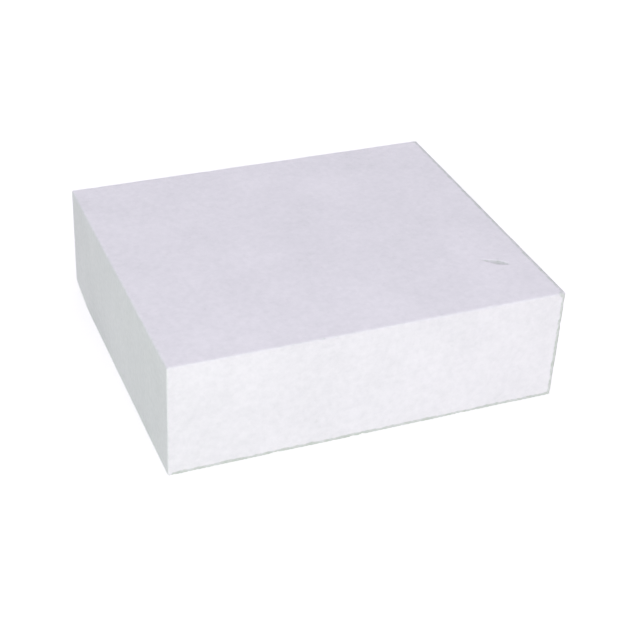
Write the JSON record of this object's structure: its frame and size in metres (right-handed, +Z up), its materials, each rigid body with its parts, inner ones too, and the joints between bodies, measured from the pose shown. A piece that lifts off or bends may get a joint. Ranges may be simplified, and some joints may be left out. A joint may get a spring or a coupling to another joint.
{
  "type": "gymnastics chalk block",
  "caption": "Solid rectangular block of pressed magnesium carbonate chalk, flat on all faces, that gymnasts and climbers rub on their hands for grip.",
  "frame": {"origin": "centre of the underside, on the surface that the block rests on", "axes": "+X along the block's long side, +Y from its front face to its back face, +Z up through its thickness"},
  "size_m": [0.0826, 0.07, 0.025],
  "materials": {
    "pressed_chalk": "dead matt and powdery, fine open pores, faint saw grain, no gloss"
  },
  "bodies": {
    "root": {"chalk_block": "pressed_chalk"}
  },
  "joints": []
}
